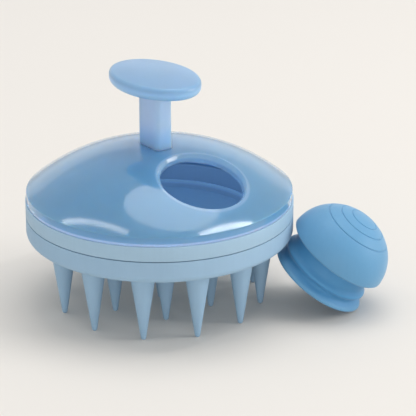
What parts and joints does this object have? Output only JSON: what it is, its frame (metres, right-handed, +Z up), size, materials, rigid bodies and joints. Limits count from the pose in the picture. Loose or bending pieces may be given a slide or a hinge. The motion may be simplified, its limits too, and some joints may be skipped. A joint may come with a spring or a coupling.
{
  "type": "scalp massager brush",
  "caption": "Round scalp massager brush with soft cone teeth, a hollow domed reservoir with a refill port, an oval knob on a stem, and a loose silicone stopper.",
  "frame": {"origin": "the flat tip of the centre tooth, on the surface that the teeth stand on and on the brush's own axis", "axes": "+Z up along the brush's axis, from the teeth to the knob; -Y towards the refill port; +X to the side where the loose stopper stands"},
  "size_m": [0.1005, 0.0974, 0.0761],
  "materials": {
    "dome_plastic": "glossy, translucent",
    "grip_plastic": "satin, slightly translucent",
    "collar_plastic": "matte",
    "floor_plastic": "satin",
    "pad_silicone": "matte silicone",
    "stopper_silicone": "matte silicone",
    "valve_silicone": "matte silicone",
    "seal_rubber": "matte"
  },
  "bodies": {
    "pad": {"tooth_pad": "pad_silicone", "tooth_outer_01": "pad_silicone", "tooth_outer_02": "pad_silicone", "tooth_outer_03": "pad_silicone", "tooth_outer_04": "pad_silicone", "tooth_outer_05": "pad_silicone", "tooth_outer_06": "pad_silicone", "tooth_outer_07": "pad_silicone", "tooth_outer_08": "pad_silicone", "tooth_outer_09": "pad_silicone", "tooth_outer_10": "pad_silicone", "tooth_outer_11": "pad_silicone", "tooth_outer_12": "pad_silicone", "tooth_inner_01": "pad_silicone", "tooth_inner_02": "pad_silicone", "tooth_inner_03": "pad_silicone", "tooth_inner_04": "pad_silicone", "tooth_inner_05": "pad_silicone", "tooth_inner_06": "pad_silicone", "tooth_centre": "pad_silicone"},
    "reservoir": {"reservoir_dome": "dome_plastic", "grip_stem": "grip_plastic", "grip_knob": "grip_plastic", "collar_ring": "collar_plastic", "floor_plate": "floor_plastic", "dome_seal": "seal_rubber", "outlet_valves": "valve_silicone"},
    "stopper": {"stopper": "stopper_silicone"}
  },
  "joints": [
    {"name": "reservoir_lift", "type": "slide", "parent": "pad", "child": "reservoir", "axis": [0, 0, 1], "range_m": [0, 0.03]},
    {"name": "stopper_draw", "type": "slide", "parent": "pad", "child": "stopper", "axis": [0.7071, -0.7071, 0], "range_m": [0, 0.04]}
  ]
}
